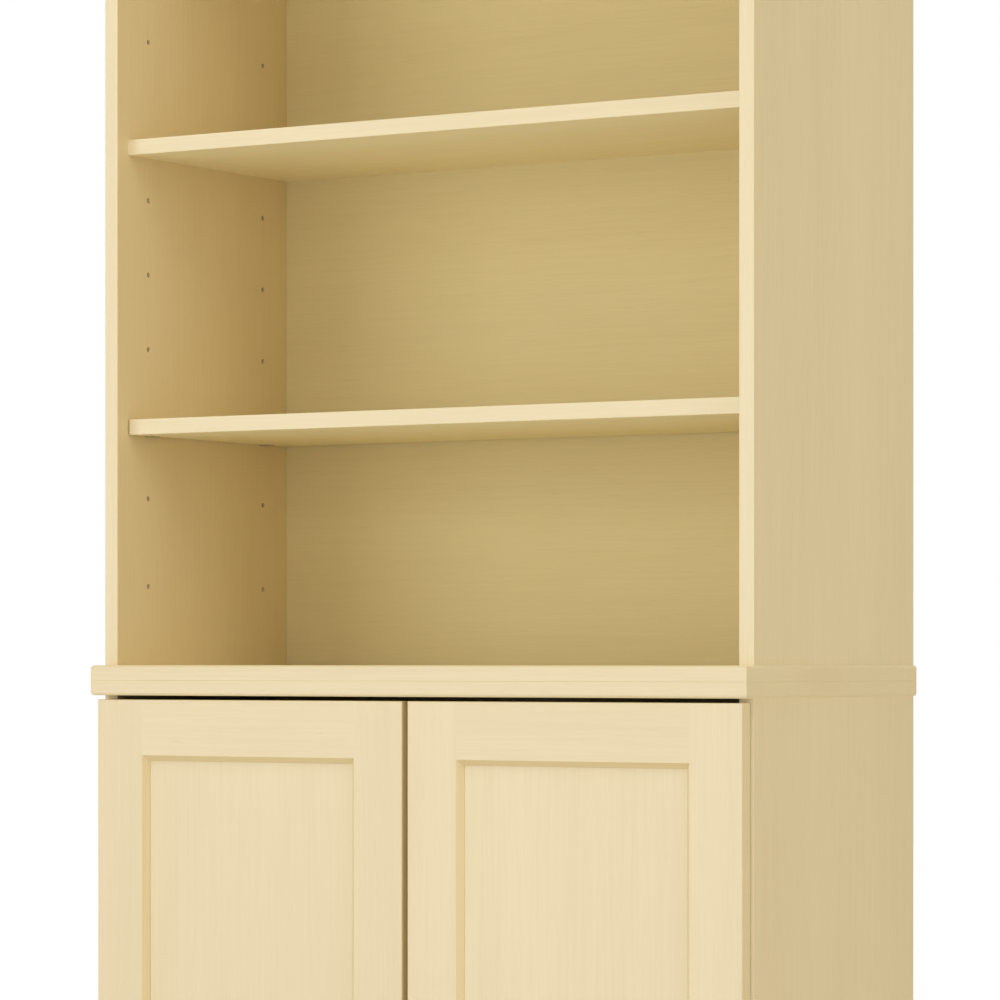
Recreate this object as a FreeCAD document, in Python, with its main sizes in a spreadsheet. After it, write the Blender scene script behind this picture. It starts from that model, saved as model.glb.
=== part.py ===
import FreeCAD, Part
import os
import Sketcher
from FreeCAD import Placement, Rotation, Vector

# Two-piece bookcase: an open hutch with shelves stands on a base cabinet with two framed doors.
# Frame: +Z up, +X to the right seen from the front, -Y towards the front, millimetres.
# Origin: on the floor, at the centre of the object's box.

os.makedirs("parts", exist_ok=True)
doc = FreeCAD.newDocument("bookcase")

# ---------------------------------------------------------------- driving dimensions

DIMENSIONS = {
    # whole case
    "case_width": 716.5,
    "case_depth": 314.0,
    "case_height": 1830.0,
    "waist_top": 740.0,
    "board": 15.0,
    "waist_board": 14.5,
    "overhang_side": 3.2,
    "overhang_waist": 19.5,
    "overhang_top": 12.0,
    "corner_radius": 1.5,
    "joint_edge_radius": 0.4,
    "shelf_edge_radius": 0.8,
    "panel_edge_radius": 0.4,
    "profile_radius": 3.2,
    # back panels and rails
    "back_inset": 286.5,
    "back_thickness": 3.0,
    "groove_depth": 7.0,
    "groove_clearance": 0.1,
    "rail_height": 60.0,
    # shelves
    "shelf_recess": 17.0,
    "shelf_end_gap": 1.7,
    "low_shelf_bottom": 224.0,
    "fixed_shelf_bottom": 496.0,
    "high_shelf_bottom": 744.0,
    "cabinet_shelf_bottom": 375.0,
    # shelf pin holes and supports
    "hole_radius": 2.5,
    "hole_depth": 9.0,
    "hole_front": 50.0,
    "hole_rear": 244.0,
    "hole_pitch": 73.0,
    "lowest_hole": 77.0,
    "hutch_hole_start": 163.0,
    "upper_hole_start": 610.0,
    "cabinet_hole_start": 241.0,
    "support_pin_radius": 2.4,
    "support_pin_length": 8.0,
    "support_pin_rise": 12.0,
    "support_plate": 1.2,
    "support_width": 12.0,
    "support_ledge": 10.0,
    "support_top": 14.5,
    # plinth and feet
    "glide_height": 4.0,
    "glide_radius": 7.0,
    "glide_pin_radius": 1.2,
    "glide_pin_length": 14.0,
    "glide_inset": 30.0,
    "plinth_height": 60.0,
    "plinth_recess": 12.0,
    # doors
    "door_thickness": 15.0,
    "door_air": 1.0,
    "door_inset": 3.2,
    "door_gap": 6.0,
    "door_top_gap": 4.0,
    "door_bottom": 62.0,
    "door_edge_radius": 1.2,
    "stile_width": 58.8,
    "moulding_width": 5.4,
    "moulding_depth": 5.8,
    "panel_recess": 6.4,
    "panel_thickness": 5.0,
    "panel_groove": 9.5,
    "panel_end_gap": 0.5,
    # knobs
    "knob_projection": 24.0,
    "knob_radius": 14.0,
    "knob_base_radius": 8.0,
    "knob_neck_radius": 5.5,
    "knob_base_length": 2.0,
    "knob_head_half": 6.5,
    "knob_inset": 27.0,
    "knob_height": 384.0,
    "knob_screw_radius": 2.0,
    "knob_screw_reach": 8.0,
    "knob_screw_head": 4.0,
    "knob_screw_head_length": 2.2,
    # concealed hinges, measured from the door's hinge edge and the case's front plane
    "hinge_height_low": 150.0,
    "hinge_height_high": 620.0,
    "cup_setback": 22.3,
    "cup_bore_radius": 17.5,
    "cup_bore_depth": 11.5,
    "cup_radius": 17.4,
    "cup_wall": 1.0,
    "cup_depth": 11.4,
    "flange_near": 14.8,
    "flange_far": 40.8,
    "flange_half_height": 31.0,
    "cup_screw_setback": 31.8,
    "cup_screw_rise": 24.0,
    "cup_screw_length": 10.0,
    "arm_standoff": 2.5,
    "arm_thickness": 8.5,
    "arm_wall": 1.5,
    "arm_half_height": 7.0,
    "arm_rear": 60.0,
    "nose_radius": 3.0,
    "nose_width": 6.0,
    "pivot_from_side": 20.5,
    "pivot_from_front": 6.2,
    "hinge_pin_radius": 1.2,
    "link_bore_radius": 1.26,
    "link_eye_radius": 2.6,
    "link_length": 18.6,
    "link_half_thickness": 1.5,
    "link_half_height": 5.0,
    "plate_setback": 37.0,
    "plate_half_length": 14.0,
    "plate_wing_half_width": 5.0,
    "plate_wing_half_height": 23.0,
    "plate_screw_rise": 16.0,
    # fasteners
    "screw_radius": 1.75,
    "screw_head_radius": 3.5,
    "screw_head_length": 1.0,
    "plate_screw_length": 11.0,
    "plate_screw_radius": 3.0,
    "plate_screw_head_radius": 4.0,
    "cam_radius": 7.5,
    "cam_length": 12.0,
    "cam_setback": 24.0,
    "cam_bolt_radius": 3.0,
    "cam_bolt_bite": 9.0,
    "dowel_radius": 4.0,
    "dowel_half_length": 10.0,
    "joint_front": 45.0,
    "joint_rear": 235.0,
    "dowel_offset": 32.0,
    "base_screw_radius": 2.5,
    "base_screw_bite": 34.0,
    "base_screw_head_radius": 5.0,
    "base_screw_head_length": 3.0,
    "stack_bolt_radius": 3.0,
    "stack_bolt_head_radius": 7.0,
    "stack_bolt_head_length": 2.5,
    "stack_bolt_bite": 11.0,
    "stack_bolt_inset": 70.0,
    # door bumpers
    "bumper_radius": 5.0,
    "bumper_length": 0.9,
    "bumper_height": 6.0,
    # wall bracket
    "bracket_half_width": 30.0,
    "bracket_depth": 28.0,
    "bracket_rise": 24.0,
    "bracket_plate": 1.5,
    "bracket_hole_radius": 2.6,
    "bracket_hole_half_spacing": 16.0,
    "bracket_hole_rise": 14.0,
    "bracket_screw_inset": 16.0,
    "bracket_screw_length": 12.0,
}

sheet = doc.addObject("Spreadsheet::Sheet", "Sizes")
for row, (alias, value) in enumerate(DIMENSIONS.items(), start=1):
    sheet.set(f"A{row}", alias)
    sheet.set(f"B{row}", str(value))
    sheet.setAlias(f"B{row}", alias)
doc.recompute()


class Size:
    """A length in mm that knows both its spreadsheet formula and its present value."""

    def __init__(self, text, value):
        self.text = text
        self.value = value

    @staticmethod
    def of(item):
        return item if isinstance(item, Size) else Size(repr(float(item)), float(item))

    def joined(self, sign, other, value):
        return Size(f"({self.text} {sign} {other.text})", value)

    def __add__(self, other):
        other = Size.of(other)
        return self.joined("+", other, self.value + other.value)

    def __sub__(self, other):
        other = Size.of(other)
        return self.joined("-", other, self.value - other.value)

    def __mul__(self, other):
        other = Size.of(other)
        return self.joined("*", other, self.value * other.value)

    def __truediv__(self, other):
        other = Size.of(other)
        return self.joined("/", other, self.value / other.value)

    def __neg__(self):
        return Size(f"(0 - {self.text})", -self.value)


def size(alias):
    return Size(f"Sizes.{alias}", float(sheet.get(alias)))


def bind(item, prop, length):
    item.setExpression(prop, Size.of(length).text)


def place(item, corner):
    item.Placement.Base = Vector(*(Size.of(c).value for c in corner))
    for axis, coordinate in zip("xyz", corner):
        bind(item, f"Placement.Base.{axis}", coordinate)


# ---------------------------------------------------------------- derived lengths

ZERO = Size("0", 0.0)
half_width = size("case_width") / 2
board = size("board")
inner_half = half_width - board
box_depth = size("knob_projection") + size("door_thickness") + size("door_air") + size("case_depth")
rear = box_depth / 2
front = rear - size("case_depth")
waist_top = size("waist_top")
waist_middle = waist_top - size("waist_board")
waist_bottom = waist_middle - size("waist_board")
top_underside = size("case_height") - board
back_front = front + size("back_inset")
back_rear = back_front + size("back_thickness")
floor_line = size("glide_height")
bottom_top = size("plinth_height") + board

door_back = front - size("door_air")
door_front = door_back - size("door_thickness")
door_low = size("door_bottom")
door_high = waist_bottom - size("door_top_gap")
door_outer = half_width - size("door_inset")
door_inner = size("door_gap") / 2
door_middle = (door_outer + door_inner) / 2
face_width = size("stile_width") - size("moulding_width")

SIDES = {"left": -1, "right": 1}
hinge_heights = (size("hinge_height_low"), size("hinge_height_high"))


def span(side, near, far):
    """The x range on one side of the centre plane, from two distances measured outwards."""
    return (near, far) if side > 0 else (-far, -near)


def across(side, distance):
    return distance if side > 0 else -distance


# ---------------------------------------------------------------- sketches and bodies

PLANES = {"x": "YZ_Plane", "y": "XZ_Plane", "z": "XY_Plane"}
DRAWN = {"x": (1, 2), "y": (0, 2), "z": (0, 1)}
NORMAL = {"x": 1, "y": -1, "z": 1}
V_AXIS_DIRECTION = ["V_Axis"]


def new_sketch(body, axis, offset):
    """A sketch square to an axis of the body, at a distance along it."""
    sketch = body.newObject("Sketcher::SketchObject", f"{body.Name}_sketch")
    plane = next(f for f in body.Origin.OriginFeatures if f.Role == PLANES[axis])
    sketch.AttachmentSupport = [(plane, "")]
    sketch.MapMode = "FlatFace"
    bind(sketch, "AttachmentOffset.Base.z", offset * NORMAL[axis])
    return sketch


def pin_point(sketch, geometry, point, u, v):
    """Holds a sketch point at (u, v) from the sketch's origin."""
    for kind, axis_line, distance in (("DistanceX", -2, u), ("DistanceY", -1, v)):
        distance = Size.of(distance)
        if distance.value == 0.0:
            sketch.addConstraint(Sketcher.Constraint("PointOnObject", geometry, point, axis_line))
            continue
        datum = sketch.addConstraint(
            Sketcher.Constraint(kind, -1, 1, geometry, point, distance.value))
        sketch.setExpression(f"Constraints[{datum}]", distance.text)


def draw_polygon(sketch, corners):
    points = [Vector(Size.of(u).value, Size.of(v).value, 0) for u, v in corners]
    lines = []
    for start, end in zip(points, points[1:] + points[:1]):
        lines.append(sketch.addGeometry(Part.LineSegment(start, end), False))
    for line, following in zip(lines, lines[1:] + lines[:1]):
        sketch.addConstraint(Sketcher.Constraint("Coincident", line, 2, following, 1))
    for line, (u, v) in zip(lines, corners):
        pin_point(sketch, line, 1, u, v)


def draw_rectangle(sketch, low, high):
    draw_polygon(sketch, [low, (high[0], low[1]), high, (low[0], high[1])])


def draw_circle(sketch, centre, radius):
    u, v = (Size.of(c) for c in centre)
    circle = sketch.addGeometry(Part.Circle(Vector(u.value, v.value, 0), Vector(0, 0, 1), radius.value))
    pin_point(sketch, circle, 3, u, v)
    datum = sketch.addConstraint(Sketcher.Constraint("Radius", circle, radius.value))
    sketch.setExpression(f"Constraints[{datum}]", radius.text)


class Board:
    """A rectangular piece cut from board, with its corner at `low`; sizes in the object's frame."""

    def __init__(self, label, low, high):
        self.low = [Size.of(c) for c in low]
        self.high = [Size.of(c) for c in high]
        self.body = doc.addObject("PartDesign::Body", label)
        width, depth, height = (h - l for l, h in zip(self.low, self.high))
        sketch = new_sketch(self.body, "z", ZERO)
        draw_rectangle(sketch, (0, 0), (width, depth))
        pad = self.body.newObject("PartDesign::Pad", f"{label}_pad")
        pad.Profile = sketch
        bind(pad, "Length", height)
        place(self.body, self.low)
        doc.recompute([self.body], True)

    def local(self, axis, point):
        return tuple(Size.of(point[i]) - self.low[i] for i in DRAWN[axis])

    def carve(self, axis, start, step, depth, draw):
        """Cuts what `draw` sketches, from `start` on the axis, towards +axis or -axis by `step`."""
        before = self.body.Shape.Volume
        index = "xyz".index(axis)
        sketch = new_sketch(self.body, axis, Size.of(start) - self.low[index])
        draw(sketch)
        pocket = self.body.newObject("PartDesign::Pocket", f"{self.body.Name}_pocket")
        pocket.Profile = sketch
        bind(pocket, "Length", depth)
        pocket.Reversed = step == NORMAL[axis]
        doc.recompute([self.body], True)
        if not self.body.Shape.Volume < before:
            raise ValueError(f"{self.body.Label}: a pocket cuts nothing")
        return sketch, pocket

    def groove(self, low, high):
        """Cuts a square-edged channel between two corners."""
        self.carve("z", high[2], -1, Size.of(high[2]) - low[2],
                   lambda sketch: draw_rectangle(sketch, self.local("z", low), self.local("z", high)))

    def drill(self, axis, start, step, centres, radius, depth):
        """Drills round holes of one size at points of the object's frame."""
        def draw(sketch):
            for centre in centres:
                draw_circle(sketch, self.local(axis, centre), radius)
        return self.carve(axis, start, step, depth, draw)

    def bevel(self, axis, corners):
        """Cuts a three-cornered moulding along the whole length of the piece."""
        index = "xyz".index(axis)
        self.carve(axis, self.high[index], -1, self.high[index] - self.low[index],
                   lambda sketch: draw_polygon(sketch, [self.local(axis, c) for c in corners]))

    def repeat_upwards(self, sketch, pocket, pitch, count):
        before = self.body.Shape.Volume
        pattern = self.body.newObject("PartDesign::LinearPattern", f"{self.body.Name}_pattern")
        pattern.Originals = [pocket]
        pattern.Direction = (sketch, V_AXIS_DIRECTION)
        pattern.Occurrences = count
        bind(pattern, "Length", pitch * (count - 1))
        self.body.Tip = pattern
        doc.recompute([self.body], True)
        if not self.body.Shape.Volume < before:
            raise ValueError(f"{self.body.Label}: a pattern cuts nothing")

    def round_edges(self, radius, chosen):
        """Rounds the edges for which `chosen(low, high)` holds, given in the object's frame."""
        base = self.body.Tip
        origin = Vector(*(c.value for c in self.low))
        names = []
        for number, edge in enumerate(base.Shape.Edges, start=1):
            box = edge.BoundBox
            low = Vector(box.XMin, box.YMin, box.ZMin) + origin
            high = Vector(box.XMax, box.YMax, box.ZMax) + origin
            if chosen(low, high):
                names.append(f"Edge{number}")
        fillet = self.body.newObject("PartDesign::Fillet", f"{self.body.Name}_fillet")
        fillet.Base = (base, names)
        bind(fillet, "Radius", radius)
        doc.recompute([self.body], True)


def near(value, length):
    return abs(value - Size.of(length).value) < 1e-3


def at_front(level):
    """Picks the edges that lie in the plane y = level and run along x or z."""
    return lambda low, high: near(low.y, level) and near(high.y, level)


def perimeter(piece, level):
    """Picks the horizontal edges at height `level` on the front and both ends of a board."""
    def chosen(low, high):
        flat = near(low.z, level) and near(high.z, level)
        back = near(low.y, piece.high[1]) and near(high.y, piece.high[1])
        return flat and not back
    return chosen


# ---------------------------------------------------------------- primitives and booleans

counter = iter(range(1, 100000))
TURN = {
    "x": Rotation(Vector(0, 0, 1), Vector(1, 0, 0)),
    "y": Rotation(Vector(0, 0, 1), Vector(0, 1, 0)),
    "z": Rotation(),
}


def block(low, high):
    item = doc.addObject("Part::Box", f"block_{next(counter)}")
    for prop, start, end in zip(("Length", "Width", "Height"), low, high):
        bind(item, prop, Size.of(end) - start)
    place(item, low)
    return item


def rod(axis, base, radius, length):
    """A cylinder that starts at `base` and runs along +axis."""
    item = doc.addObject("Part::Cylinder", f"rod_{next(counter)}")
    item.Placement = Placement(Vector(), TURN[axis])
    bind(item, "Radius", radius)
    bind(item, "Height", length)
    place(item, base)
    return item


def fuse(items, label=None):
    item = doc.addObject("Part::MultiFuse", label or f"fuse_{next(counter)}")
    item.Shapes = items
    return item


def cut(base, tools, label=None):
    item = doc.addObject("Part::Cut", label or f"cut_{next(counter)}")
    item.Base = base
    item.Tool = tools[0] if len(tools) == 1 else group(tools)
    return item


def common(base, tool, label=None):
    item = doc.addObject("Part::Common", label or f"common_{next(counter)}")
    item.Base = base
    item.Tool = tool
    return item


def group(items, label=None):
    item = doc.addObject("Part::Compound", label or f"group_{next(counter)}")
    item.Links = items
    return item


def headed(axis, head_base, head_radius, head_length, shank_base, shank_radius, shank_length):
    """A screw or bolt: a round head and a round shank on one axis."""
    return fuse([rod(axis, head_base, head_radius, head_length),
                 rod(axis, shank_base, shank_radius, shank_length)])


nodes = {}


def keep(label, item):
    item.Label = label
    nodes[label] = item


# ---------------------------------------------------------------- fasteners inside the case

cams, cam_bolts, dowels = [], [], []
joint_lines = (front + size("joint_front"), front + size("joint_rear"))


def end_joint(side, level, cam_low):
    """Cam and dowel joints between the end of a level board and the inner face of a side."""
    bite = size("cam_bolt_bite")
    setback = size("cam_setback")
    reach = setback - size("cam_radius")
    for y in joint_lines:
        x = across(side, inner_half - setback)
        cams.append(rod("z", (x, y, cam_low), size("cam_radius"), size("cam_length")))
        start = span(side, inner_half - reach, inner_half + bite)[0]
        cam_bolts.append(rod("x", (start, y, level), size("cam_bolt_radius"), reach + bite))
        half = size("dowel_half_length")
        start = span(side, inner_half - half, inner_half + half)[0]
        dowels.append(rod("x", (start, y + size("dowel_offset"), level), size("dowel_radius"), half * 2))


def edge_joint(side, level):
    """Cam and dowel joints between a board lying on a side's top edge and that side."""
    bite = size("cam_bolt_bite")
    setback = size("cam_setback")
    reach = setback - size("cam_radius")
    x = across(side, inner_half + board / 2)
    for y in joint_lines:
        start = span(side, inner_half, inner_half + size("cam_length"))[0]
        cams.append(rod("x", (start, y, level - setback), size("cam_radius"), size("cam_length")))
        cam_bolts.append(rod("z", (x, y, level - reach), size("cam_bolt_radius"), reach + bite))
        half = size("dowel_half_length")
        dowels.append(rod("z", (x, y + size("dowel_offset"), level - half), size("dowel_radius"), half * 2))


fixed_low = waist_top + size("fixed_shelf_bottom")
for side in SIDES.values():
    end_joint(side, fixed_low + board / 2, fixed_low + board - size("cam_length"))
    end_joint(side, size("plinth_height") + board / 2, size("plinth_height"))
    edge_joint(side, top_underside)
    edge_joint(side, waist_bottom)

# The rails behind the backs and the plinth boards have a dowel near each corner.
plinth_front = front + size("plinth_recess")
RAILS = {
    "hutch_back_rail": (back_rear, top_underside - size("rail_height"), top_underside),
    "cabinet_back_rail": (back_rear, waist_bottom - size("rail_height"), waist_bottom),
    "plinth_rear_rail": (rear - board, floor_line, size("plinth_height")),
    "plinth_front_board": (plinth_front, floor_line, size("plinth_height")),
}
for y_low, z_low, z_high in RAILS.values():
    for side in SIDES.values():
        for share in (0.3, 0.7):
            half = size("dowel_half_length")
            level = z_low + (z_high - z_low) * share
            start = span(side, inner_half - half, inner_half + half)[0]
            dowels.append(rod("x", (start, y_low + board / 2, level), size("dowel_radius"), half * 2))

base_screws = []
for side in SIDES.values():
    for y in joint_lines:
        x = across(side, inner_half + board / 2)
        base_screws.append(headed(
            "z", (x, y, waist_middle), size("base_screw_head_radius"), size("base_screw_head_length"),
            (x, y, waist_middle), size("base_screw_radius"), size("waist_board") + size("base_screw_bite")))

stack_bolts = []
for side in SIDES.values():
    for y in joint_lines:
        x = across(side, inner_half - size("stack_bolt_inset"))
        stack_bolts.append(headed(
            "z", (x, y, waist_bottom), size("stack_bolt_head_radius"), size("stack_bolt_head_length"),
            (x, y, waist_bottom), size("stack_bolt_radius"), size("waist_board") + size("stack_bolt_bite")))

keep("cam_locks", group(cams, "cam_locks"))
keep("cam_bolts", group(cam_bolts, "cam_bolts"))
keep("wood_dowels", group(dowels, "wood_dowels"))
keep("base_board_screws", group(base_screws, "base_board_screws"))
keep("stacking_bolts", group(stack_bolts, "stacking_bolts"))
hidden = [nodes[name] for name in ("cam_locks", "cam_bolts", "wood_dowels")]

# ---------------------------------------------------------------- wall bracket and glides

bracket_base = size("case_height")
bracket_low = (-size("bracket_half_width"), rear - size("bracket_depth"), bracket_base)
bracket = fuse([
    block(bracket_low, (size("bracket_half_width"), rear, bracket_base + size("bracket_plate"))),
    block((-size("bracket_half_width"), rear - size("bracket_plate"), bracket_base),
          (size("bracket_half_width"), rear, bracket_base + size("bracket_rise"))),
])
bracket_holes = []
bracket_screws = []
for side in SIDES.values():
    x = across(side, size("bracket_hole_half_spacing"))
    bracket_holes.append(rod("y", (x, rear - size("bracket_depth"), bracket_base + size("bracket_hole_rise")),
                             size("bracket_hole_radius"), size("bracket_depth") + 1))
    y = rear - size("bracket_screw_inset")
    plate_top = bracket_base + size("bracket_plate")
    bracket_screws.append(headed(
        "z", (x, y, plate_top), size("screw_head_radius"), size("screw_head_length"),
        (x, y, bracket_base - size("bracket_screw_length")), size("screw_radius"),
        size("bracket_screw_length") + size("bracket_plate")))
keep("wall_bracket_screws", group(bracket_screws, "wall_bracket_screws"))
keep("wall_bracket", cut(bracket, bracket_holes + [nodes["wall_bracket_screws"]], "wall_bracket"))

glides = []
for side in SIDES.values():
    for y in (front + size("glide_inset"), rear - size("glide_inset")):
        x = across(side, inner_half + board / 2)
        glides.append(headed(
            "z", (x, y, ZERO), size("glide_radius"), floor_line,
            (x, y, ZERO), size("glide_pin_radius"), floor_line + size("glide_pin_length")))
keep("floor_glides", group(glides, "floor_glides"))

# ---------------------------------------------------------------- shelf supports


def shelf_support(side, y, shelf_low):
    """An angle support: a pin in the side, an upright plate and a ledge under the shelf."""
    plate = size("support_plate")
    half = size("support_width") / 2
    upright = span(side, inner_half - plate, inner_half)
    ledge = span(side, inner_half - size("support_ledge"), inner_half)
    pin_start = span(side, inner_half - plate, inner_half + size("support_pin_length"))[0]
    return fuse([
        block((upright[0], y - half, shelf_low - plate), (upright[1], y + half, shelf_low + size("support_top"))),
        block((ledge[0], y - half, shelf_low - plate), (ledge[1], y + half, shelf_low)),
        rod("x", (pin_start, y, shelf_low + size("support_pin_rise")),
            size("support_pin_radius"), plate + size("support_pin_length")),
    ])


def shelf_supports(label, shelf_lows):
    supports = [shelf_support(side, front + y, low) for low in shelf_lows
                for side in SIDES.values() for y in (size("hole_front"), size("hole_rear"))]
    keep(label, group(supports, label))


low_shelf = waist_top + size("low_shelf_bottom")
high_shelf = waist_top + size("high_shelf_bottom")
cabinet_shelf = size("cabinet_shelf_bottom")
shelf_supports("hutch_shelf_supports", [low_shelf, high_shelf])
shelf_supports("cabinet_shelf_supports", [cabinet_shelf])

# ---------------------------------------------------------------- hinges


def hinge_x(side, from_case_side):
    """Distance from the centre plane of a point measured inwards from the case's outer side."""
    return across(side, half_width - from_case_side)


def hinge_span(side, near_side, far_side):
    return span(side, half_width - far_side, half_width - near_side)


arm_side = board + size("arm_standoff")
arm_far = arm_side + size("arm_thickness")
pivot_y = front - size("pivot_from_front")


def hinge_arm(side, level):
    """A channel-shaped arm with a slotted nose that holds the link's pin."""
    half = size("arm_half_height")
    wall = size("arm_wall")
    slot = half - wall
    x_all = hinge_span(side, arm_side, arm_far)
    x_hollow = hinge_span(side, arm_side, arm_far - wall)
    x_nose = hinge_span(side, arm_side, arm_side + size("nose_width"))
    pivot_x = hinge_x(side, size("pivot_from_side"))
    solid = fuse([
        block((x_all[0], front, level - half), (x_all[1], front + size("arm_rear"), level + half)),
        block((x_nose[0], pivot_y, level - half), (x_nose[1], front, level + half)),
        rod("z", (pivot_x, pivot_y, level - half), size("nose_radius"), half * 2),
    ])
    hollow = block((x_hollow[0], front, level - slot),
                   (x_hollow[1], front + size("arm_rear") - wall, level + slot))
    x_slot = hinge_span(side, arm_side, arm_far)
    nose_slot = block((x_slot[0], pivot_y - size("nose_width"), level - slot),
                      (x_slot[1], front + wall, level + slot))
    pin_hole = rod("z", (pivot_x, pivot_y, level - half), size("hinge_pin_radius"), half * 2)
    return cut(solid, [hollow, nose_slot, pin_hole])


def hinge_plate(side, level):
    """A cross-shaped mounting plate on the inner face of the case's side."""
    middle = front + size("plate_setback")
    half_length = size("plate_half_length")
    half = size("arm_half_height")
    wing = size("plate_wing_half_width")
    wing_rise = size("plate_wing_half_height")
    x_all = hinge_span(side, board, arm_side)
    return fuse([
        block((x_all[0], middle - half_length, level - half), (x_all[1], middle + half_length, level + half)),
        block((x_all[0], middle - wing, level - wing_rise), (x_all[1], middle + wing, level + wing_rise)),
    ])


def hinge_plate_screws(side, level):
    """Two euro screws through the plate's wings into the side."""
    y = front + size("plate_setback")
    head = size("screw_head_length")
    length = size("plate_screw_length")
    bite = length + size("arm_standoff")
    head_start = hinge_span(side, arm_side, arm_side + head)[0]
    shank_start = hinge_span(side, board - length, arm_side)[0]
    return [headed("x", (head_start, y, level + rise), size("plate_screw_head_radius"), head,
                   (shank_start, y, level + rise), size("plate_screw_radius"), bite)
            for rise in (-size("plate_screw_rise"), size("plate_screw_rise"))]


def hinge_cup(side, level):
    """A round cup sunk in the door's stile, with a screwed flange on the inner half."""
    centre_x = hinge_x(side, size("door_inset") + size("cup_setback"))
    wall = size("cup_wall")
    depth = size("cup_depth")
    x_flange = hinge_span(side, size("door_inset") + size("flange_near"),
                          size("door_inset") + size("flange_far"))
    rise = size("flange_half_height")
    solid = fuse([
        rod("y", (centre_x, door_back - depth, level), size("cup_radius"), depth),
        block((x_flange[0], door_back, level - rise), (x_flange[1], front, level + rise)),
    ])
    return cut(solid, [rod("y", (centre_x, door_back - depth + wall, level),
                           size("cup_radius") - wall, depth + size("door_air"))])


def cup_screws(side, level):
    """Two wood screws through the cup's flange into the stile."""
    x = hinge_x(side, size("door_inset") + size("cup_screw_setback"))
    length = size("cup_screw_length")
    return [headed("y", (x, front, level + rise), size("screw_head_radius"), size("screw_head_length"),
                   (x, door_back - length, level + rise), size("screw_radius"), length + size("door_air"))
            for rise in (-size("cup_screw_rise"), size("cup_screw_rise"))]


def hinge_link(side, level):
    """A flat link with an eye on the arm's pin; its free end lies in the cup."""
    near_side = size("pivot_from_side")
    far_side = near_side + size("link_length")
    pivot_x = hinge_x(side, near_side)
    half = size("link_half_height")
    thin = size("link_half_thickness")
    x_bar = hinge_span(side, near_side, far_side)
    solid = fuse([
        block((x_bar[0], pivot_y - thin, level - half), (x_bar[1], pivot_y + thin, level + half)),
        rod("z", (pivot_x, pivot_y, level - half), size("link_eye_radius"), half * 2),
        rod("z", (hinge_x(side, far_side), pivot_y, level - half), thin, half * 2),
    ])
    return cut(solid, [rod("z", (pivot_x, pivot_y, level - half), size("link_bore_radius"), half * 2)])


arms, plates, pins, plate_screws = [], [], [], []
for side in SIDES.values():
    for level in hinge_heights:
        arms.append(hinge_arm(side, level))
        plates.append(hinge_plate(side, level))
        plate_screws += hinge_plate_screws(side, level)
        pins.append(rod("z", (hinge_x(side, size("pivot_from_side")), pivot_y, level - size("arm_half_height")),
                        size("hinge_pin_radius"), size("arm_half_height") * 2))
keep("hinge_arms", group(arms, "hinge_arms"))
keep("hinge_pins", group(pins, "hinge_pins"))
keep("hinge_plate_screws", group(plate_screws, "hinge_plate_screws"))
keep("hinge_plates", cut(group(plates), [nodes["hinge_plate_screws"]], "hinge_plates"))

# ---------------------------------------------------------------- case boards


def case_side(label, side, z_low, z_high, back_low, back_high, hole_starts):
    """An upright side with a groove for the back panel and two rows of shelf pin holes."""
    x = span(side, inner_half, half_width)
    piece = Board(label, (x[0], front, z_low), (x[1], rear, z_high))
    clearance = size("groove_clearance")
    x = span(side, inner_half, inner_half + size("groove_depth"))
    piece.groove((x[0], back_front - clearance, back_low), (x[1], back_rear + clearance, back_high))
    inner_face = across(side, inner_half)
    for start, count in hole_starts:
        centres = [(ZERO, front + size(row), start) for row in ("hole_front", "hole_rear")]
        sketch, pocket = piece.drill("x", inner_face, side, centres, size("hole_radius"), size("hole_depth"))
        if count > 1:
            piece.repeat_upwards(sketch, pocket, size("hole_pitch"), count)
    piece.round_edges(size("panel_edge_radius"),
                      lambda low, high: near(low.y, front) and near(high.y, front) and high.z - low.z > 1)
    return piece


groove_low = size("groove_depth")
for name, side in SIDES.items():
    hutch_side = case_side(
        f"hutch_{name}_side", side, waist_top, top_underside, waist_top, top_underside,
        [(waist_top + size("lowest_hole"), 1), (waist_top + size("hutch_hole_start"), 5),
         (waist_top + size("upper_hole_start"), 4)])
    keep(f"hutch_{name}_side",
         cut(hutch_side.body, hidden + [nodes["base_board_screws"]], f"hutch_{name}_side_bored"))
    cabinet_side = case_side(
        f"cabinet_{name}_side", side, floor_line, waist_bottom, size("plinth_height"), waist_bottom,
        [(size("cabinet_hole_start"), 5)])
    keep(f"cabinet_{name}_side",
         cut(cabinet_side.body, hidden + [nodes["hinge_plate_screws"], nodes["floor_glides"]],
             f"cabinet_{name}_side_bored"))


def profiled_board(label, overhang_front, z_low, z_high, groove_levels, radius_low, radius_high):
    """A board that overhangs the sides and the front, with rounded top and bottom edges."""
    reach = half_width + size("overhang_side")
    piece = Board(label, (-reach, front - overhang_front, z_low), (reach, rear, z_high))
    clearance = size("groove_clearance")
    groove_end = inner_half + size("groove_depth")
    for low, high in groove_levels:
        piece.groove((-groove_end, back_front - clearance, low), (groove_end, back_rear + clearance, high))
    piece.round_edges(size("corner_radius"), lambda low, high: (
        near(low.y, piece.low[1]) and near(high.y, piece.low[1]) and high.z - low.z > 1))
    piece.round_edges(radius_low, perimeter(piece, z_low))
    piece.round_edges(radius_high, perimeter(piece, z_high))
    return piece


shallow = size("groove_depth")
top_board = profiled_board("top_board_blank", size("overhang_top"), top_underside, size("case_height"),
                           [(top_underside, top_underside + shallow)],
                           size("profile_radius"), size("profile_radius"))
keep("top_board", cut(top_board.body, hidden + [nodes["wall_bracket_screws"]], "top_board"))

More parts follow.
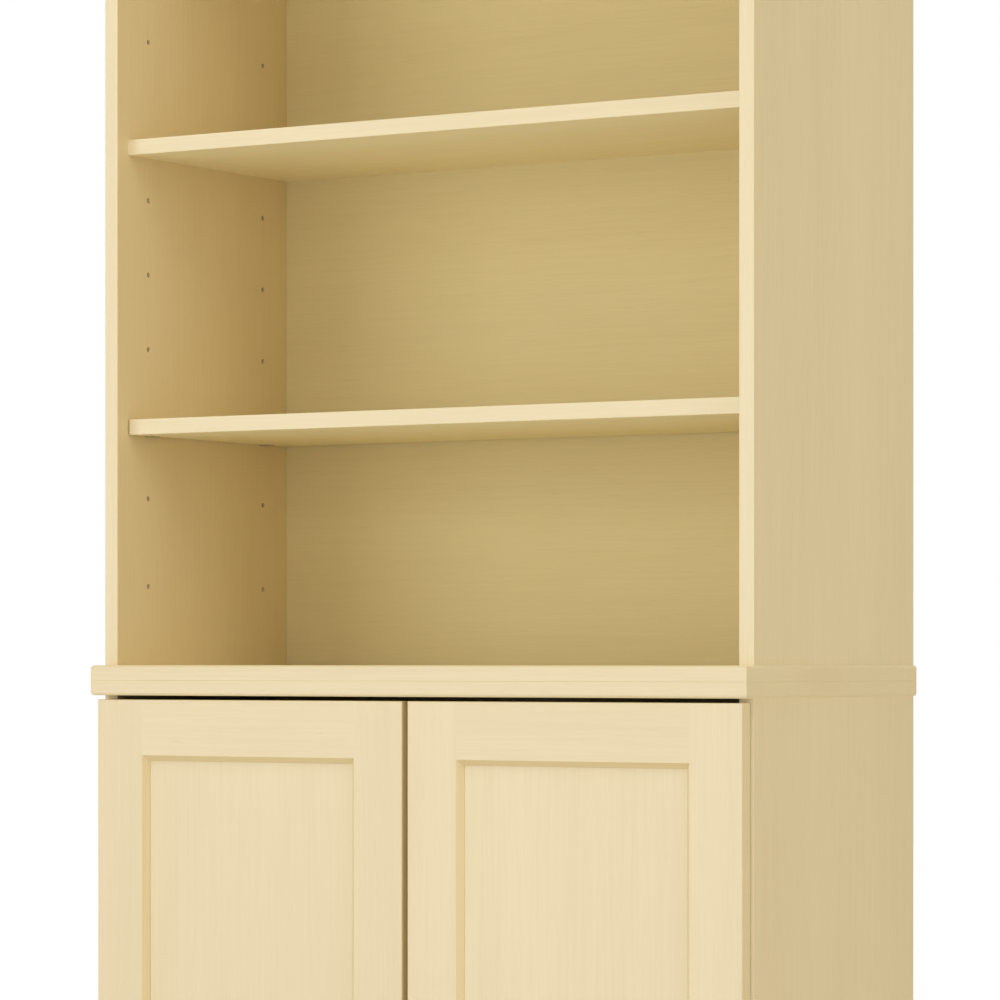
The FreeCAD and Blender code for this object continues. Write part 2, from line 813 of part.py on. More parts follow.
base_board = profiled_board("base_board_blank", size("overhang_waist"), waist_middle, waist_top,
                            [(waist_top - shallow, waist_top)],
                            size("joint_edge_radius"), size("profile_radius"))
keep("hutch_base_board",
     cut(base_board.body, [nodes["base_board_screws"], nodes["stacking_bolts"]], "hutch_base_board"))

cabinet_top = profiled_board("cabinet_top_blank", size("overhang_waist"), waist_bottom, waist_middle,
                             [(waist_bottom, waist_bottom + shallow)],
                             size("profile_radius"), size("joint_edge_radius"))
keep("cabinet_top_board", cut(cabinet_top.body, hidden + [nodes["stacking_bolts"]], "cabinet_top_board"))

fixed_shelf = Board("fixed_shelf_blank", (-inner_half, front + size("shelf_recess"), fixed_low),
                    (inner_half, back_front, fixed_low + board))
fixed_shelf.round_edges(size("shelf_edge_radius"), lambda low, high: (
    near(low.y, fixed_shelf.low[1]) and near(high.y, fixed_shelf.low[1]) and high.x - low.x > 50))
keep("fixed_shelf", cut(fixed_shelf.body, hidden, "fixed_shelf"))

bottom_board = Board("bottom_board_blank", (-inner_half, front, size("plinth_height")),
                     (inner_half, rear, bottom_top))
bottom_board.groove((-inner_half, back_front - size("groove_clearance"), bottom_top - shallow),
                    (inner_half, back_rear + size("groove_clearance"), bottom_top))
bottom_board.round_edges(size("panel_edge_radius"), lambda low, high: (
    near(low.y, front) and near(high.y, front) and high.x - low.x > 50))
keep("cabinet_bottom_board", cut(bottom_board.body, hidden, "cabinet_bottom_board"))

for label, (y_low, z_low, z_high) in RAILS.items():
    rail = Board(f"{label}_blank", (-inner_half, y_low, z_low), (inner_half, y_low + board, z_high))
    keep(label, cut(rail.body, [nodes["wood_dowels"]], label))


def loose_shelf(label, z_low):
    """A shelf that rests on four angle supports."""
    half_length = inner_half - size("shelf_end_gap")
    piece = Board(label, (-half_length, front + size("shelf_recess"), z_low),
                  (half_length, back_front - size("shelf_end_gap"), z_low + board))
    piece.round_edges(size("shelf_edge_radius"), lambda low, high: (
        near(low.y, piece.low[1]) and near(high.y, piece.low[1]) and high.x - low.x > 50))
    keep(label, piece.body)


loose_shelf("low_shelf", low_shelf)
loose_shelf("high_shelf", high_shelf)
loose_shelf("cabinet_shelf", cabinet_shelf)


def back_panel(label, z_low, z_high):
    """A thin panel held in grooves on all four edges."""
    half_length = inner_half + size("groove_depth") - size("panel_end_gap")
    bite = size("groove_depth") - size("panel_end_gap")
    piece = Board(label, (-half_length, back_front, z_low - bite), (half_length, back_rear, z_high + bite))
    keep(label, piece.body)


back_panel("hutch_back_panel", waist_top, top_underside)
back_panel("cabinet_back_panel", bottom_top, waist_bottom)

# ---------------------------------------------------------------- doors


def stile(label, side, outer, bores):
    """A full-height upright of a door frame, moulded and grooved on its inner edge."""
    if outer:
        edge, tip, sign = door_outer, door_outer - size("stile_width"), -1
    else:
        edge, tip, sign = door_inner, door_inner + size("stile_width"), 1
    x = span(side, tip, edge) if outer else span(side, edge, tip)
    piece = Board(label, (x[0], door_front, door_low), (x[1], door_back, door_high))
    deep = tip - size("panel_groove") * sign
    x = span(side, tip, deep) if outer else span(side, deep, tip)
    clearance = size("groove_clearance")
    panel_front = door_front + size("panel_recess")
    piece.groove((x[0], panel_front - clearance, door_low),
                 (x[1], panel_front + size("panel_thickness") + clearance, door_high))
    flat = tip - size("moulding_width") * sign
    piece.bevel("z", [(across(side, tip), door_front, ZERO), (across(side, flat), door_front, ZERO),
                      (across(side, tip), door_front + size("moulding_depth"), ZERO)])
    for axis_start, step, centres, radius, depth in bores:
        piece.drill("y", axis_start, step, centres, radius, depth)
    return piece


def rail_blank(label, side, z_low, z_high, opening_is_high):
    """A cross rail with its moulding and panel groove, before its ends are coped to the stiles."""
    x = span(side, door_inner + face_width, door_outer - face_width)
    piece = Board(label, (x[0], door_front, z_low), (x[1], door_back, z_high))
    panel_front = door_front + size("panel_recess")
    clearance = size("groove_clearance")
    edge = z_high if opening_is_high else z_low
    sign = -1 if opening_is_high else 1
    inner = edge + size("panel_groove") * sign
    groove_z = (inner, edge) if opening_is_high else (edge, inner)
    piece.groove((x[0], panel_front - clearance, groove_z[0]),
                 (x[1], panel_front + size("panel_thickness") + clearance, groove_z[1]))
    flat = edge + size("moulding_width") * sign
    piece.bevel("x", [(ZERO, door_front, edge), (ZERO, door_front, flat),
                      (ZERO, door_front + size("moulding_depth"), edge)])
    tenon = span(side, door_inner + size("stile_width") - size("panel_groove") + size("panel_end_gap"),
                 door_outer - size("stile_width") + size("panel_groove") - size("panel_end_gap"))
    tenon_z = (z_low, inner) if opening_is_high else (inner, z_high)
    tongue = block((tenon[0], panel_front, tenon_z[0]),
                   (tenon[1], panel_front + size("panel_thickness"), tenon_z[1]))
    return fuse([piece.body, tongue])


def knob(side):
    """A turned knob: a base, a neck and a flattened round head."""
    x = across(side, door_inner + size("knob_inset"))
    z = size("knob_height")
    tip = door_front - size("knob_projection")
    head_middle = tip + size("knob_head_half")
    head = doc.addObject("Part::Ellipsoid", f"knob_head_{next(counter)}")
    head.Placement = Placement(Vector(), TURN["y"])
    bind(head, "Radius1", size("knob_head_half"))
    bind(head, "Radius2", size("knob_radius"))
    bind(head, "Radius3", size("knob_radius"))
    place(head, (x, head_middle, z))
    return fuse([
        head,
        rod("y", (x, head_middle, z), size("knob_neck_radius"), size("knob_projection") - size("knob_head_half")),
        rod("y", (x, door_front - size("knob_base_length"), z), size("knob_base_radius"),
            size("knob_base_length")),
    ])


def door(name, side):
    """A frame-and-panel door with its knob, hinge cups and bumpers."""
    envelope = Board(f"{name}_door_envelope",
                     (span(side, door_inner, door_outer)[0], door_front, door_low),
                     (span(side, door_inner, door_outer)[1], door_back, door_high))
    envelope.round_edges(size("door_edge_radius"), at_front(door_front))

    cup_x = hinge_x(side, size("door_inset") + size("cup_setback"))
    cup_centres = [(cup_x, ZERO, level) for level in hinge_heights]
    cup_bores = [(door_back, -1, cup_centres, size("cup_bore_radius"), size("cup_bore_depth"))]
    outer = stile(f"{name}_outer_stile_blank", side, True, cup_bores)
    meeting = stile(f"{name}_meeting_stile_blank", side, False, [])

    cups = [hinge_cup(side, level) for level in hinge_heights]
    screws = [screw for level in hinge_heights for screw in cup_screws(side, level)]
    keep(f"{name}_cup_screws", group(screws, f"{name}_cup_screws"))
    keep(f"{name}_hinge_cups", cut(group(cups), [nodes[f"{name}_cup_screws"]], f"{name}_hinge_cups"))
    links = [hinge_link(side, level) for level in hinge_heights]
    keep(f"{name}_hinge_links", group(links, f"{name}_hinge_links"))

    knob_x = across(side, door_inner + size("knob_inset"))
    head = size("knob_screw_head_length")
    reach = size("knob_screw_reach") + size("door_thickness")
    knob_screw = headed("y", (knob_x, door_back, size("knob_height")), size("knob_screw_head"), head,
                        (knob_x, door_back - reach, size("knob_height")), size("knob_screw_radius"), reach)
    keep(f"{name}_knob_screw", knob_screw)
    keep(f"{name}_knob", cut(knob(side), [knob_screw], f"{name}_knob"))

    keep(f"{name}_outer_stile",
         cut(common(outer.body, envelope.body), [nodes[f"{name}_cup_screws"]], f"{name}_outer_stile"))
    keep(f"{name}_meeting_stile",
         cut(common(meeting.body, envelope.body), [knob_screw], f"{name}_meeting_stile"))

    stiles = [outer.body, meeting.body]
    top = rail_blank(f"{name}_top_rail_blank", side, door_high - size("stile_width"), door_high, False)
    keep(f"{name}_top_rail", common(cut(top, stiles), envelope.body, f"{name}_top_rail"))
    bottom = rail_blank(f"{name}_bottom_rail_blank", side, door_low, door_low + size("stile_width"), True)
    keep(f"{name}_bottom_rail", common(cut(bottom, stiles), envelope.body, f"{name}_bottom_rail"))

    bite = size("panel_groove") - size("panel_end_gap") - size("stile_width")
    x = span(side, door_inner - bite, door_outer + bite)
    panel_front = door_front + size("panel_recess")
    panel = Board(f"{name}_door_panel", (x[0], panel_front, door_low - bite),
                  (x[1], panel_front + size("panel_thickness"), door_high + bite))
    keep(f"{name}_door_panel", panel.body)

    bumpers = [rod("y", (across(side, x_bumper), door_back, door_low + size("bumper_height")),
                   size("bumper_radius"), size("bumper_length"))
               for x_bumper in (door_inner + size("knob_inset"), door_middle)]
    keep(f"{name}_door_bumpers", group(bumpers, f"{name}_door_bumpers"))


for name, side in SIDES.items():
    door(name, side)

# ---------------------------------------------------------------- checks and export

doc.recompute()
for item in doc.Objects:
    if "Invalid" in item.State or "Error" in item.State:
        raise ValueError(f"{item.Name} failed: {item.State}")
for label, item in nodes.items():
    if item.Shape.isNull() or not item.Shape.isValid() or not item.Shape.Solids:
        raise ValueError(f"{label} has no valid solid")

for label, item in nodes.items():
    item.Shape.exportStep(f"parts/{label}.step")
    print(f"{label}: {len(item.Shape.Solids)} solid(s), {item.Shape.Volume / 1000:.1f} cm3")
print(f"{len(nodes)} nodes")
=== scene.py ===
import math

import bmesh
import bpy
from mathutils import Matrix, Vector


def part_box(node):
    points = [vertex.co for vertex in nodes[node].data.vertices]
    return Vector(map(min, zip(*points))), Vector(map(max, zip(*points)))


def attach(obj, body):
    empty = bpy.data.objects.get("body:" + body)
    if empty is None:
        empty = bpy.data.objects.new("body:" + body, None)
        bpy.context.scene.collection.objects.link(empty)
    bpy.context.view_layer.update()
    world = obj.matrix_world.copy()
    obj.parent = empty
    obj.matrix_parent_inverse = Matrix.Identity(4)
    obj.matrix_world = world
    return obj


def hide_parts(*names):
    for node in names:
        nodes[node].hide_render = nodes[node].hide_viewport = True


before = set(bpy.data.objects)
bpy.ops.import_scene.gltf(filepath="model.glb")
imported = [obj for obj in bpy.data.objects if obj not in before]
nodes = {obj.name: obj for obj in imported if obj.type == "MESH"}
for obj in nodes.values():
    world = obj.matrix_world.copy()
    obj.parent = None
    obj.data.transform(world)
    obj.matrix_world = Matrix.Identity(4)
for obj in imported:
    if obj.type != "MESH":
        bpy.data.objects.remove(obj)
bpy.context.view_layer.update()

# ---------------------------------------------------------------- colours


def grey(level):
    return (level, level, level, 1.0)


def linear(red, green, blue):
    """Scene-linear colour from 8-bit sRGB values."""
    def decode(value):
        value /= 255
        return value / 12.92 if value <= 0.04045 else ((value + 0.055) / 1.055) ** 2.4
    return tuple(decode(v) for v in (red, green, blue)) + (1.0,)


def shaded(colour, share):
    return tuple(channel * share for channel in colour[:3]) + (1.0,)


# Foils and wood, each with its lighter and its darker tone. The foils are copies of one foil toned for
# painted light and shade: paler copies for faces that look forward and for upper and lower faces, a
# darker, yellower copy for side faces, edges and moulding slopes; the edge tape is a real strip, made
# paler by painted light as well.
# painted light: the paler tone of faces that look forward
LIT_FRONT_FOIL = (linear(235, 218, 179), linear(230, 212, 172))
# real edge tape on the front edges, made paler by painted light
LIT_EDGE_TAPE = (linear(237, 221, 181), linear(233, 215, 174))
# painted shade: the darker, yellower tone of side faces, edges and moulding slopes
SHADED_SIDE_FOIL = (linear(231, 209, 158), linear(226, 203, 151))
# painted light: the paler tone of shelves and of upper and lower faces
LIT_SHELF_FOIL = (linear(247, 233, 186), linear(243, 228, 180))
BACK_FOIL = (linear(228, 211, 159), linear(223, 205, 152))
BEECH = (linear(214, 182, 138), linear(190, 154, 108))
FIBRE_SHADE = (0.955, 0.945, 0.93, 1.0)
PORE_SHADE = (0.92, 0.89, 0.84, 1.0)
WHITE = grey(1.0)

# ---------------------------------------------------------------- node trees


class Graph:
    """A node tree of a material or world, emptied to be filled again."""

    def __init__(self, owner):
        owner.use_nodes = True
        self.nodes = owner.node_tree.nodes
        self.links = owner.node_tree.links
        self.nodes.clear()

    def feed(self, socket, value):
        """Gives an input its value, or links it to another node's output."""
        if isinstance(value, bpy.types.NodeSocket):
            self.links.new(value, socket)
        else:
            socket.default_value = value

    def add(self, kind, inputs=None, **settings):
        """A new node with its settings, and its inputs by name or number."""
        node = self.nodes.new(kind)
        for key, value in settings.items():
            setattr(node, key, value)
        for key, value in (inputs or {}).items():
            self.feed(node.inputs[key], value)
        return node


class Surface(Graph):
    """The node tree of a new material with a Principled shader."""

    def __init__(self, name):
        self.material = bpy.data.materials.new(name)
        super().__init__(self.material)
        self.shader = self.add("ShaderNodeBsdfPrincipled")
        self.output = self.add("ShaderNodeOutputMaterial", {"Surface": self.shader.outputs["BSDF"]})

    def set(self, name, value):
        """Sets or links an input of the shader."""
        self.feed(self.shader.inputs[name], value)

    def noise(self, scale, detail, roughness=0.5):
        """Noise in the object's own frame, with a scale for each axis."""
        place = self.add("ShaderNodeTexCoord").outputs["Object"]
        mapping = self.add("ShaderNodeMapping", {"Vector": place, "Scale": scale})
        noise = self.add("ShaderNodeTexNoise", {"Vector": mapping.outputs["Vector"], "Scale": 1.0,
                                                "Detail": detail, "Roughness": roughness})
        return noise.outputs["Fac"]

    def ramp(self, factor, low, high):
        """A colour that runs between two stops, each (position, colour)."""
        ramp = self.add("ShaderNodeValToRGB", {"Fac": factor})
        for element, (position, colour) in zip(ramp.color_ramp.elements, (low, high)):
            element.position = position
            element.color = colour
        return ramp.outputs["Color"]

    def mix(self, factor, first, second, blend="MIX"):
        mix = self.add("ShaderNodeMix", {"Factor": factor}, data_type="RGBA", blend_type=blend)
        for socket, value in zip((i for i in mix.inputs if i.type == "RGBA"), (first, second)):
            self.feed(socket, value)
        return next(o for o in mix.outputs if o.type == "RGBA")

    def painted_light_mask(self, axis, both):
        """Painted light and shade: 1 on the faces that look along the negative axis in the object's own
        frame (`both`: also along the positive axis), which take a paler lit tone; 0 on the others and on
        the slopes of a moulding, which keep a darker shaded tone."""
        normal = self.add("ShaderNodeTexCoord").outputs["Normal"]
        parts = self.add("ShaderNodeSeparateXYZ", {"Vector": normal})
        turned = self.add("ShaderNodeMath", {0: parts.outputs[axis], 1: -1.0},
                          operation="ABSOLUTE" if both else "MULTIPLY")
        # painted shade: this range leaves the slopes of a moulding on the darker base tone
        edge = self.add("ShaderNodeMapRange", {"Value": turned.outputs["Value"],
                                               "From Min": 0.70, "From Max": 0.90})
        return edge.outputs["Result"]

    def bump(self, height, strength, distance):
        bump = self.add("ShaderNodeBump", {"Height": height, "Strength": strength,
                                           "Distance": distance})
        self.set("Normal", bump.outputs["Normal"])


# ---------------------------------------------------------------- procedural materials


# Noise scales across and along a pattern, and even ones.
BROAD, FIBRES, PORES, BRUSHING = (9.0, 0.9), (420.0, 9.0), (900.0, 36.0), (1500.0, 30.0)
SCRATCHES, SPECKS, FLOOR_PATCHES = (260.0,) * 3, (900.0,) * 3, (3.0,) * 3
GRAIN_STRENGTH = 0.6            # of the fibres and pores over the broad tone


def stretched(along, across, lengthwise):
    """Noise scales for a pattern that runs along one axis."""
    return tuple(lengthwise if axis == along else across for axis in "xyz")


def wood_foil(name, along, tones, roughness=0.46, lit_front=None, both=False, level=None):
    """Printed wood-grain foil: a broad tone, fine fibres and short pores.

    `lit_front` gives the face that looks forward a paler tone of painted light (`both`: also the face
    that looks back), and `level` gives the upper and lower faces a paler tone of painted light; the other
    faces and the slopes of a moulding keep the base tone, a darker tone of painted shade.
    """
    foil = Surface(name)
    broad = foil.noise(stretched(along, *BROAD), 4.0, 0.55)
    fibre = foil.noise(stretched(along, *FIBRES), 3.0, 0.6)
    pores = foil.noise(stretched(along, *PORES), 2.0)

    def toned(light, dark):
        return foil.ramp(broad, (0.32, dark), (0.68, light))

    colour = toned(*tones)
    if level:
        # painted light: upper and lower faces take a paler tone
        colour = foil.mix(foil.painted_light_mask("Z", True), colour, toned(*level))
    if lit_front:
        # painted light: faces that look forward take a paler tone; sides and moulding slopes keep the
        # base tone as painted shade
        colour = foil.mix(foil.painted_light_mask("Y", both), colour, toned(*lit_front))
    for detail in (foil.ramp(fibre, (0.30, FIBRE_SHADE), (0.62, WHITE)),
                   foil.ramp(pores, (0.66, WHITE), (0.74, PORE_SHADE))):
        colour = foil.mix(GRAIN_STRENGTH, colour, detail, "MULTIPLY")
    gloss = foil.ramp(fibre, (0.2, grey(roughness + 0.06)), (0.8, grey(roughness - 0.04)))
    foil.set("Base Color", colour)
    foil.set("Roughness", gloss)
    foil.set("Specular IOR Level", 0.3)
    foil.bump(pores, 0.12, 0.0002)
    return foil.material


def speckled(name, colour, scale, darkest, roughness, spread, relief):
    """A surface whose tone and gloss vary finely, with a slight relief (strength, distance)."""
    surface = Surface(name)
    grain = surface.noise(scale, 2.0)
    tone = surface.ramp(grain, (0.3, shaded(colour, darkest)), (0.7, colour))
    gloss = surface.ramp(grain, (0.3, grey(roughness + spread)), (0.7, grey(roughness)))
    surface.set("Base Color", tone)
    surface.set("Roughness", gloss)
    surface.bump(grain, *relief)
    return surface


def metal(name, colour, roughness, brushed=None):
    """Plated steel with fine scratches; `brushed` gives the direction of the brushing."""
    scale = stretched(brushed, *BRUSHING) if brushed else SCRATCHES
    surface = speckled(name, colour, scale, 0.88, roughness, 0.08, (0.06, 0.0001))
    surface.set("Metallic", 1.0)
    return surface.material


def plastic(name, colour, roughness, transmission=0.0):
    surface = speckled(name, colour, SPECKS, 0.92, roughness, 0.06, (0.08, 0.0001))
    surface.set("Transmission Weight", transmission)
    return surface.material


# painted light and shade: doors take a paler lit tone on the faces that look forward and back, and a
# darker shaded tone on their edges and moulding slopes
painted_light_door_foil = {axis: wood_foil(f"painted_light_door_foil_{axis}", axis, SHADED_SIDE_FOIL, lit_front=LIT_FRONT_FOIL, both=True)
             for axis in "xz"}
# painted light and shade: sides take a darker shaded tone, with real edge tape made paler by painted
# light on their front edges
painted_light_side_foil = wood_foil("painted_light_side_foil", "z", SHADED_SIDE_FOIL, lit_front=LIT_EDGE_TAPE)
# painted light and shade: case boards take a paler tone on faces that look forward and on upper and lower
# faces, and a darker shaded tone on the rest
painted_light_case_foil = wood_foil("painted_light_case_foil", "x", SHADED_SIDE_FOIL, lit_front=LIT_FRONT_FOIL, level=LIT_SHELF_FOIL)
# painted light: shelves take a paler lit tone, their real edge tape paler still
painted_light_shelf_foil = wood_foil("painted_light_shelf_foil", "x", LIT_SHELF_FOIL, lit_front=LIT_EDGE_TAPE)
back_foil = wood_foil("back_foil", "x", BACK_FOIL, roughness=0.55)
beech = wood_foil("beech", "x", BEECH, roughness=0.6)
nickel = metal("nickel", linear(204, 201, 194), 0.28)
zinc = metal("zinc_plate", linear(190, 192, 194), 0.34)
die_cast = metal("die_cast_zinc", linear(150, 150, 148), 0.5)
satin_nickel = metal("satin_nickel", linear(196, 191, 182), 0.33, brushed="z")
brown_plastic = plastic("brown_plastic", linear(72, 58, 46), 0.5)
clear_plastic = plastic("clear_pad", linear(228, 230, 226), 0.2, transmission=0.7)

DOORS = ("left", "right")


def on_doors(*names):
    return [f"{side}_{name}" for side in DOORS for name in names]


MATERIALS = {
    painted_light_side_foil: ["hutch_left_side", "hutch_right_side", "cabinet_left_side", "cabinet_right_side"],
    painted_light_case_foil: ["top_board", "hutch_base_board", "cabinet_top_board", "cabinet_bottom_board",
                "plinth_front_board", "plinth_rear_rail", "cabinet_back_rail", "hutch_back_rail"],
    painted_light_shelf_foil: ["fixed_shelf", "low_shelf", "high_shelf", "cabinet_shelf"],
    painted_light_door_foil["z"]: on_doors("outer_stile", "meeting_stile", "door_panel"),
    painted_light_door_foil["x"]: on_doors("top_rail", "bottom_rail"),
    back_foil: ["hutch_back_panel", "cabinet_back_panel"],
    beech: ["wood_dowels"],
    nickel: ["hinge_arms", "hinge_pins", "hinge_plates", "hutch_shelf_supports",
             "cabinet_shelf_supports"] + on_doors("hinge_cups", "hinge_links"),
    zinc: ["cam_bolts", "base_board_screws", "stacking_bolts", "hinge_plate_screws",
           "wall_bracket_screws", "wall_bracket"] + on_doors("cup_screws", "knob_screw"),
    die_cast: ["cam_locks"],
    satin_nickel: on_doors("knob"),
    brown_plastic: ["floor_glides"],
    clear_plastic: on_doors("door_bumpers"),
}
for material, names in MATERIALS.items():
    for name in names:
        mesh = nodes[name].data
        mesh.materials.clear()
        mesh.materials.append(material)

# ---------------------------------------------------------------- recesses in screw and cam heads

CROSS_WIDTH = 0.3               # half width of a recess's arm, as a share of its reach
CROSS_FOOT = 0.55               # size of the recess at its bottom, as a share of its size at the face
CUTTER_PROUD = 0.0005           # height of the cutter above the face
FIRST_TURN, NEXT_TURN = 0.3, 0.8    # radians: of the first recess, and from each to the next
SHARP_FROM = math.radians(35)
WELD = 1e-6
CAM_LIMIT = 0.013               # more than a cam's thickness and less than its diameter
WAIST_LIMIT = 1.0               # a height between the cams of the cabinet and of the fixed shelf


def loose_parts(form):
    """Lowest and highest corner of each separate solid in a bmesh."""
    waiting = set(form.verts)
    parts = []
    while waiting:
        reached = [waiting.pop()]
        for vertex in reached:
            for edge in vertex.link_edges:
                other = edge.other_vert(vertex)
                if other in waiting:
                    waiting.remove(other)
                    reached.append(other)
        parts.append([Vector(pick(v.co[i] for v in reached) for i in range(3)) for pick in (min, max)])
    return sorted(parts, key=lambda part: tuple(part[0]))


def add_cross(cutter, centre, axis, sign, face, arm, depth, turn):
    """A tapered four-armed plug that reaches `depth` into the face at the level `face` on `axis`."""
    width = CROSS_WIDTH * arm
    outline = [(arm, width), (width, width), (width, arm),
               (-width, arm), (-width, width), (-arm, width),
               (-arm, -width), (-width, -width), (-width, -arm),
               (width, -arm), (width, -width), (arm, -width)]
    rings = []
    for scale, height in ((1.0, CUTTER_PROUD), (CROSS_FOOT, -depth)):
        ring = []
        for u, v in outline:
            point = list(centre)
            point[axis] = face + sign * height
            point[(axis + 1) % 3] += scale * (u * math.cos(turn) - v * math.sin(turn))
            point[(axis + 2) % 3] += scale * (u * math.sin(turn) + v * math.cos(turn))
            ring.append(cutter.verts.new(point))
        rings.append(ring)
    upper, lower = rings
    count = len(outline)
    cutter.faces.new(upper)
    cutter.faces.new(reversed(lower))
    for i in range(count):
        cutter.faces.new((upper[i], lower[i], lower[(i + 1) % count], upper[(i + 1) % count]))


def mesh_object(name, form):
    """An object from a bmesh, which is used up."""
    mesh = bpy.data.meshes.new(name)
    form.to_mesh(mesh)
    form.free()
    piece = bpy.data.objects.new(name, mesh)
    bpy.context.scene.collection.objects.link(piece)
    return piece


def with_recesses(name, form, head, arm, depth):
    """An object from the solids in `form`, each with a cross recess in the end that `head` picks."""
    bmesh.ops.remove_doubles(form, verts=form.verts, dist=WELD)
    cutter = bmesh.new()
    for index, (low, high) in enumerate(loose_parts(form)):
        axis, sign = head(low, high)
        face = (high if sign > 0 else low)[axis]
        turn = FIRST_TURN + NEXT_TURN * index
        add_cross(cutter, (low + high) / 2, axis, sign, face, arm, depth, turn)
    bmesh.ops.recalc_face_normals(cutter, faces=cutter.faces)
    piece = mesh_object(name, form)
    tool = mesh_object(f"{name}_tool", cutter)
    cut = piece.modifiers.new("recess", "BOOLEAN")
    cut.operation = "DIFFERENCE"
    cut.solver = "EXACT"
    cut.object = tool
    result = bpy.data.meshes.new_from_object(piece.evaluated_get(bpy.context.evaluated_depsgraph_get()))
    piece.modifiers.clear()
    piece.data = result
    bpy.data.objects.remove(tool)
    result.shade_smooth()
    result.set_sharp_from_angle(angle=SHARP_FROM)
    return piece


def finish_piece(piece, body, slot, material):
    """Gives an added piece its material and the body that carries it; `slot` is not used."""
    piece.data.materials.clear()
    piece.data.materials.append(material)
    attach(piece, body)


# Each of these gives the axis and the sign of the way that a head faces.
def to_the_back(low, high):
    return 1, 1


def upwards(low, high):
    return 2, 1


def to_the_middle(low, high):
    return 0, -1 if low.x > 0 else 1


def cam_face(low, high):
    """Cams in the sides face the middle; the fixed shelf's face up and the bottom board's face down."""
    if high.x - low.x < CAM_LIMIT:
        return to_the_middle(low, high)
    return 2, 1 if low.z > WAIST_LIMIT else -1


STEEL = ("fastener_steel", zinc)
CAST = ("cam_zinc", die_cast)
# Node, body, slot and material, way that the heads face, and the recess's reach and depth.
RECESSED = [("hinge_plate_screws", "case", STEEL, to_the_middle, 0.0021, 0.0013),
            ("wall_bracket_screws", "case", STEEL, upwards, 0.0019, 0.0012),
            ("cam_locks", "case", CAST, cam_face, 0.0036, 0.0022)]
for side in DOORS:
    RECESSED += [(f"{side}_cup_screws", f"{side}_door", STEEL, to_the_back, 0.0018, 0.0012),
                 (f"{side}_knob_screw", f"{side}_door", STEEL, to_the_back, 0.0021, 0.0013)]
for node, body, finish, head, arm, depth in RECESSED:
    copied = bmesh.new()
    copied.from_mesh(nodes[node].data)
    recessed_piece = with_recesses(f"{node}_recessed", copied, head, arm, depth)
    finish_piece(recessed_piece, body, *finish)
    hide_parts(node)

# ---------------------------------------------------------------- adjusting screws of the hinges

ARM_THICKNESS = 0.0085          # of a hinge arm, along X
ARM_HALF_HEIGHT = 0.007
ADJUSTERS_Y = (-0.112, -0.089)  # front and rear screw of an arm
ADJUSTER_STEPS = 32
# Radius, and height above the arm's face, from the foot inside the arm to the top.
ADJUSTER_PROFILE = ((0.0, -0.0006), (0.0031, -0.0006), (0.0031, 0.0005), (0.0027, 0.0010),
                    (0.0, 0.0013))


def add_adjuster(form, sign, face, y, z):
    """A low screw head, turned about X, on the face of an arm that lies `face` from the middle."""
    rings = []
    for radius, height in ADJUSTER_PROFILE:
        angles = [math.tau * i / ADJUSTER_STEPS for i in range(ADJUSTER_STEPS if radius else 1)]
        rings.append([form.verts.new((sign * (face - height), y + radius * math.cos(angle),
                                      z + radius * math.sin(angle))) for angle in angles])
    for first, second in zip(rings, rings[1:]):
        for i in range(ADJUSTER_STEPS):
            corners = [first[i % len(first)], first[(i + 1) % len(first)],
                       second[(i + 1) % len(second)], second[i % len(second)]]
            form.faces.new(dict.fromkeys(corners))


adjusters = bmesh.new()
arms_low, arms_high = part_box("hinge_arms")
for z in (arms_low.z + ARM_HALF_HEIGHT, arms_high.z - ARM_HALF_HEIGHT):
    for sign in (-1, 1):
        for y in ADJUSTERS_Y:
            add_adjuster(adjusters, sign, -arms_low.x - ARM_THICKNESS, y, z)
bmesh.ops.recalc_face_normals(adjusters, faces=adjusters.faces)
hinge_adjusters = with_recesses("hinge_adjusters", adjusters, to_the_middle, 0.0018, 0.0009)
finish_piece(hinge_adjusters, "case", "hinge_metal", nickel)

# ---------------------------------------------------------------- floor and backdrop

FLOOR_REACH = 12.0
FLOOR_LIFT = 0.58               # added for the camera alone, which brings the lit floor up to white
WORLD_LEVEL = 0.45              # light of the world on the object; the camera sees it white

floor_mesh = bpy.data.meshes.new("floor")
floor_corners = [(x * FLOOR_REACH, y * FLOOR_REACH, 0)
                 for x, y in ((-1, -1), (1, -1), (1, 1), (-1, 1))]
floor_mesh.from_pydata(floor_corners, [], [(0, 1, 2, 3)])
floor = bpy.data.objects.new("floor", floor_mesh)
bpy.context.scene.collection.objects.link(floor)
paint = Surface("pale_floor")
paint.set("Base Color", paint.ramp(paint.noise(FLOOR_PATCHES, 3.0), (0.3, grey(0.91)), (0.7, grey(0.93))))
paint.set("Roughness", 0.9)
camera_ray = paint.add("ShaderNodeLightPath").outputs["Is Camera Ray"]
lift = paint.add("ShaderNodeEmission", {"Color": grey(FLOOR_LIFT), "Strength": camera_ray})
lifted = paint.add("ShaderNodeAddShader", {0: paint.shader.outputs["BSDF"],
                                           1: lift.outputs["Emission"]})
paint.feed(paint.output.inputs["Surface"], lifted.outputs["Shader"])
floor_mesh.materials.append(paint.material)

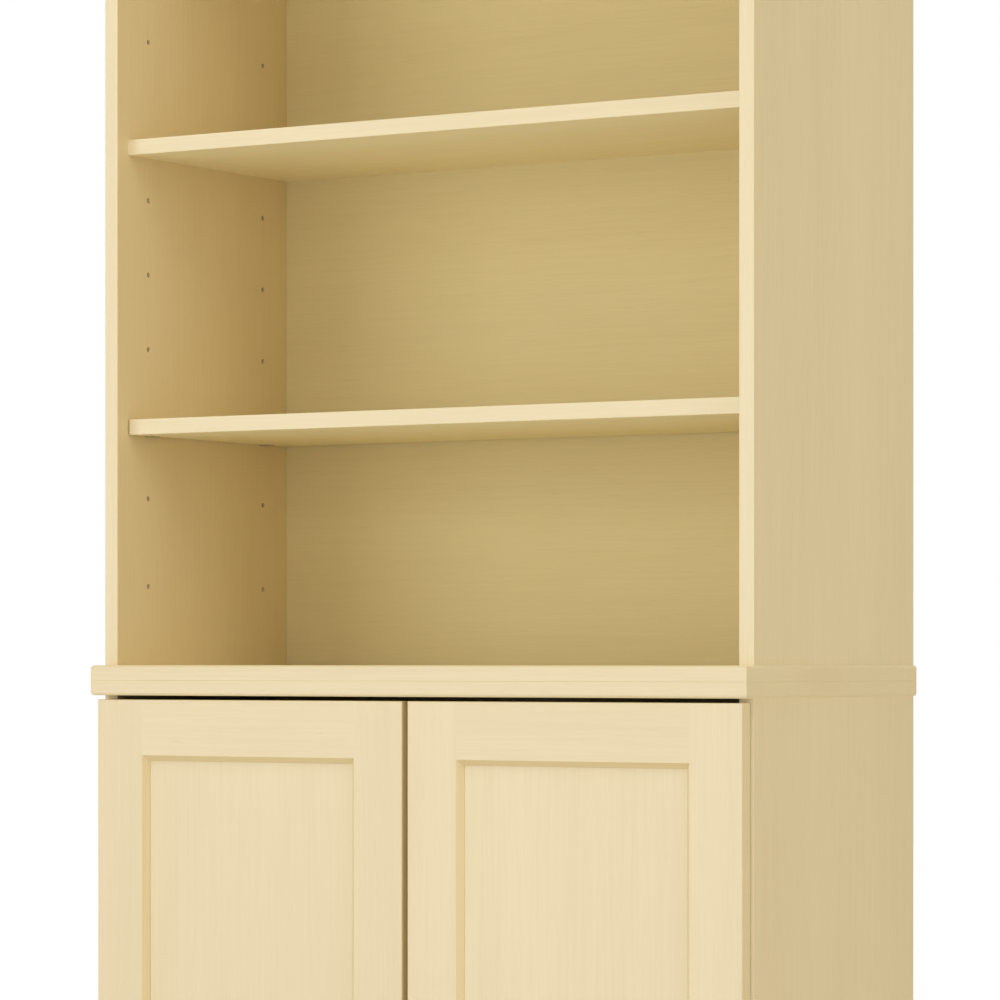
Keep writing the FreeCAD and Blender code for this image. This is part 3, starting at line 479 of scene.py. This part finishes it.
world = bpy.data.worlds.new("studio")
bpy.context.scene.world = world
backdrop = Graph(world)
light = backdrop.add("ShaderNodeBackground", {"Color": WHITE, "Strength": WORLD_LEVEL})
white = backdrop.add("ShaderNodeBackground", {"Color": WHITE, "Strength": 1.0})
path = backdrop.add("ShaderNodeLightPath")
seen = backdrop.add("ShaderNodeMath", {0: path.outputs["Is Camera Ray"],
                                       1: path.outputs["Is Glossy Ray"]}, operation="MAXIMUM")
chosen = backdrop.add("ShaderNodeMixShader", {"Fac": seen.outputs["Value"],
                                              1: light.outputs["Background"],
                                              2: white.outputs["Background"]})
backdrop.add("ShaderNodeOutputWorld", {"Surface": chosen.outputs["Shader"]})

# ---------------------------------------------------------------- lamps and camera

MIDDLE = (0, 0, 1.0)
WAIST_FRONT = (0, -0.30, 0.90)
# Name, position, point that the lamp faces, width and power in watts.
LAMPS = (("key_light", (-2.60, -4.40, 1.35), MIDDLE, 2.6, 51.0),
         ("fill_light", (1.60, -5.00, 1.35), MIDDLE, 2.6, 28.5),
         ("top_light", (0.30, -2.80, 4.40), WAIST_FRONT, 2.5, 51.0),
         ("side_light", (4.70, -1.05, 1.80), MIDDLE, 2.0, 44.0),
         ("back_light", (-0.70, 4.80, 2.20), MIDDLE, 2.5, 42.0))
for name, position, target, width, power in LAMPS:
    lamp_data = bpy.data.lights.new(name, "AREA")
    lamp_data.shape = "SQUARE"
    lamp_data.size = width
    lamp_data.energy = power
    lamp = bpy.data.objects.new(name, lamp_data)
    bpy.context.scene.collection.objects.link(lamp)
    lamp.location = position
    lamp.rotation_euler = (Vector(target) - Vector(position)).to_track_quat("-Z", "Y").to_euler()

FOCAL_LENGTH = 4.247            # in widths of the picture
HORIZON_SHIFT = 0.1611
CAMERA_PLACE = (2.154, -3.431, 0.744)
CAMERA_TURN = math.radians(32.02)
camera_data = bpy.data.cameras.new("camera")
camera_data.sensor_width = 36.0
camera_data.lens = FOCAL_LENGTH * camera_data.sensor_width
camera_data.shift_y = HORIZON_SHIFT
camera_data.clip_end = 100.0
camera = bpy.data.objects.new("camera", camera_data)
bpy.context.scene.collection.objects.link(camera)
camera.location = CAMERA_PLACE
camera.rotation_euler = (math.radians(90), 0, CAMERA_TURN)
bpy.context.scene.camera = camera
bpy.context.scene.view_settings.view_transform = "Standard"
